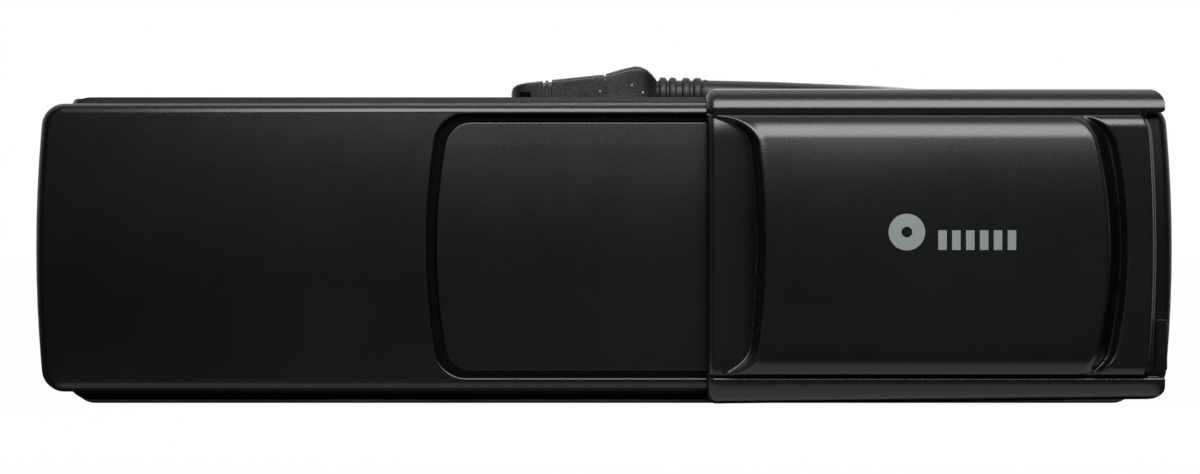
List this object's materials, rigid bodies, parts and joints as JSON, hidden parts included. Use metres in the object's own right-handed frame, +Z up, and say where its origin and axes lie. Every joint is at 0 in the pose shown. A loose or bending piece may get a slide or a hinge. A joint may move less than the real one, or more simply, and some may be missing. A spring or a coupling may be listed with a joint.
{
  "type": "car cd changer",
  "caption": "Black car disc changer with a sliding front door, a removable magazine of disc trays, a lift, a playback unit and a captive lead that ends in a plug.",
  "frame": {"origin": "on the surface that the housing stands on, under the middle of the housing's box without the lead", "axes": "+X to the right seen from the front, along the longest side; +Y to the back; +Z up"},
  "size_m": [0.256, 0.25, 0.084],
  "materials": {
    "black_plastic": "satin moulded ABS with a very fine grain",
    "black_steel": "black powder coat on sheet steel",
    "plated_steel": "zinc-plated sheet steel",
    "screw_steel": "black oxide screws",
    "bright_steel": "ground steel pins, rods and shafts",
    "motor_can": "drawn motor can",
    "circuit_board": "green solder mask on glass fibre board",
    "chip_black": "moulded component packages",
    "black_rubber": "soft black moulded rubber",
    "lead_jacket": "smooth black lead jacket",
    "plug_plastic": "dark grey moulded plug",
    "grey_plastic": "dark grey moulded plastic",
    "deck_plastic": "black glass-filled moulding",
    "white_acetal": "natural acetal",
    "brass_gear": "turned brass pinion",
    "lens_glass": "coated objective lens",
    "tray_plastic": "grey moulded disc tray"
  },
  "bodies": {
    "housing": {"bottom_chassis": "plated_steel", "top_cover": "black_steel", "cover_screws": "screw_steel", "front_collar": "black_plastic", "front_bezel": "black_plastic", "front_frame": "black_plastic", "frame_screws": "screw_steel", "magazine_bay": "plated_steel", "eject_post": "plated_steel", "guide_wall_front": "plated_steel", "guide_wall_rear": "plated_steel", "lift_motor": "motor_can", "main_board": "circuit_board", "board_standoffs": "plated_steel", "board_parts": "chip_black", "strain_relief": "black_rubber", "lead": "lead_jacket", "plug_boot": "black_rubber", "lead_plug": "plug_plastic"},
    "sliding_cover": {"door_cover": "black_plastic"},
    "sliding_leaf": {"door_leaf": "black_plastic"},
    "button": {"eject_button": "black_plastic"},
    "magazine": {"magazine_case": "grey_plastic", "magazine_lid": "grey_plastic"},
    "ejector": {"eject_arm": "plated_steel"},
    "lift": {"lift_frame": "plated_steel", "lift_pins": "bright_steel", "dampers": "black_rubber", "playback_deck": "deck_plastic", "sled_rods": "bright_steel", "spindle_motor": "motor_can", "sled_gear_pin": "bright_steel", "sled_motor": "motor_can", "clamp_pivot": "bright_steel"},
    "cam_front": {"cam_plate_front": "white_acetal"},
    "cam_rear": {"cam_plate_rear": "white_acetal"},
    "shaft": {"sync_shaft": "bright_steel", "lift_gear": "white_acetal"},
    "lift_drive": {"motor_pinion": "brass_gear"},
    "spindle": {"turntable": "deck_plastic"},
    "pickup": {"sled": "deck_plastic", "lens_holder": "chip_black", "pickup_lens": "lens_glass"},
    "sled_wheel": {"sled_gear": "white_acetal"},
    "sled_drive": {"sled_pinion": "brass_gear"},
    "clamp": {"clamp_arm": "plated_steel", "clamp_puck": "white_acetal"},
    "dial": {"angle_dial": "grey_plastic"},
    "tray_1": {"disc_tray_1": "tray_plastic"},
    "tray_2": {"disc_tray_2": "tray_plastic"},
    "tray_3": {"disc_tray_3": "tray_plastic"},
    "tray_4": {"disc_tray_4": "tray_plastic"},
    "tray_5": {"disc_tray_5": "tray_plastic"},
    "tray_6": {"disc_tray_6": "tray_plastic"}
  },
  "joints": [
    {"name": "door_slide", "type": "slide", "parent": "housing", "child": "sliding_cover", "axis": [1, 0, 0], "range_m": [-0.133, 0]},
    {"name": "leaf_slide", "type": "slide", "parent": "housing", "child": "sliding_leaf", "axis": [1, 0, 0], "range_m": [-0.064, 0]},
    {"name": "button_press", "type": "slide", "parent": "housing", "child": "button", "axis": [0, 1, 0], "range_m": [0, 0.0025], "stiffness_N_per_m": 300, "springref_m": -0.001},
    {"name": "magazine_eject", "type": "slide", "parent": "housing", "child": "magazine", "axis": [0, -1, 0], "range_m": [0, 0.018]},
    {"name": "ejector_swing", "type": "hinge", "parent": "housing", "child": "ejector", "pos_m": [0.104, 0.0835, 0.023], "axis": [0, 0, 1], "range_deg": [0, 40]},
    {"name": "tray_slide_1", "type": "slide", "parent": "magazine", "child": "tray_1", "axis": [1, 0, 0], "range_m": [-0.106, 0]},
    {"name": "tray_slide_2", "type": "slide", "parent": "magazine", "child": "tray_2", "axis": [1, 0, 0], "range_m": [-0.106, 0]},
    {"name": "tray_slide_3", "type": "slide", "parent": "magazine", "child": "tray_3", "axis": [1, 0, 0], "range_m": [-0.106, 0]},
    {"name": "tray_slide_4", "type": "slide", "parent": "magazine", "child": "tray_4", "axis": [1, 0, 0], "range_m": [-0.106, 0]},
    {"name": "tray_slide_5", "type": "slide", "parent": "magazine", "child": "tray_5", "axis": [1, 0, 0], "range_m": [-0.106, 0]},
    {"name": "tray_slide_6", "type": "slide", "parent": "magazine", "child": "tray_6", "axis": [1, 0, 0], "range_m": [-0.106, 0]},
    {"name": "lift_raise", "type": "slide", "parent": "housing", "child": "lift", "axis": [0, 0, 1], "range_m": [0, 0.032]},
    {"name": "cam_front_slide", "type": "slide", "parent": "housing", "child": "cam_front", "axis": [-1, 0, 0], "range_m": [0, 0.024]},
    {"name": "cam_rear_slide", "type": "slide", "parent": "housing", "child": "cam_rear", "axis": [-1, 0, 0], "range_m": [0, 0.024]},
    {"name": "shaft_turn", "type": "hinge", "parent": "housing", "child": "shaft", "pos_m": [-0.06, 0, 0.0616], "axis": [0, 1, 0], "range_deg": [0, 290]},
    {"name": "lift_drive_turn", "type": "hinge", "parent": "housing", "child": "lift_drive", "pos_m": [-0.0691, -0.066, 0.0616], "axis": [0, -1, 0], "range_deg": [0, 580]},
    {"name": "spindle_spin", "type": "hinge", "parent": "lift", "child": "spindle", "pos_m": [-0.0505, 0.007, 0.016], "axis": [0, 0, 1], "continuous": true},
    {"name": "sled_slide", "type": "slide", "parent": "lift", "child": "pickup", "axis": [1, 0, 0], "range_m": [-0.035, 0]},
    {"name": "sled_wheel_turn", "type": "hinge", "parent": "lift", "child": "sled_wheel", "pos_m": [-0.078, -0.02052, 0.006], "axis": [0, 0, 1], "range_deg": [0, 425]},
    {"name": "sled_drive_turn", "type": "hinge", "parent": "lift", "child": "sled_drive", "pos_m": [-0.078, -0.03212, 0.006], "axis": [0, 0, 1], "range_deg": [-1515, 0]},
    {"name": "clamp_swing", "type": "hinge", "parent": "lift", "child": "clamp", "pos_m": [-0.0505, 0.073, 0.024], "axis": [1, 0, 0], "range_deg": [0, 2]},
    {"name": "dial_turn", "type": "hinge", "parent": "housing", "child": "dial", "pos_m": [-0.12, 0.034, 0.034], "axis": [1, 0, 0], "range_deg": [-90, 0]}
  ],
  "couplings": [
    {"joint": "ejector_swing", "follows": "magazine_eject", "rad_per_m": 35.714},
    {"joint": "cam_front_slide", "follows": "lift_raise", "ratio": 0.75},
    {"joint": "cam_rear_slide", "follows": "lift_raise", "ratio": 0.75},
    {"joint": "shaft_turn", "follows": "lift_raise", "rad_per_m": 156.25},
    {"joint": "lift_drive_turn", "follows": "lift_raise", "rad_per_m": 312.5},
    {"joint": "sled_wheel_turn", "follows": "sled_slide", "rad_per_m": -208.33},
    {"joint": "sled_drive_turn", "follows": "sled_slide", "rad_per_m": 750}
  ]
}
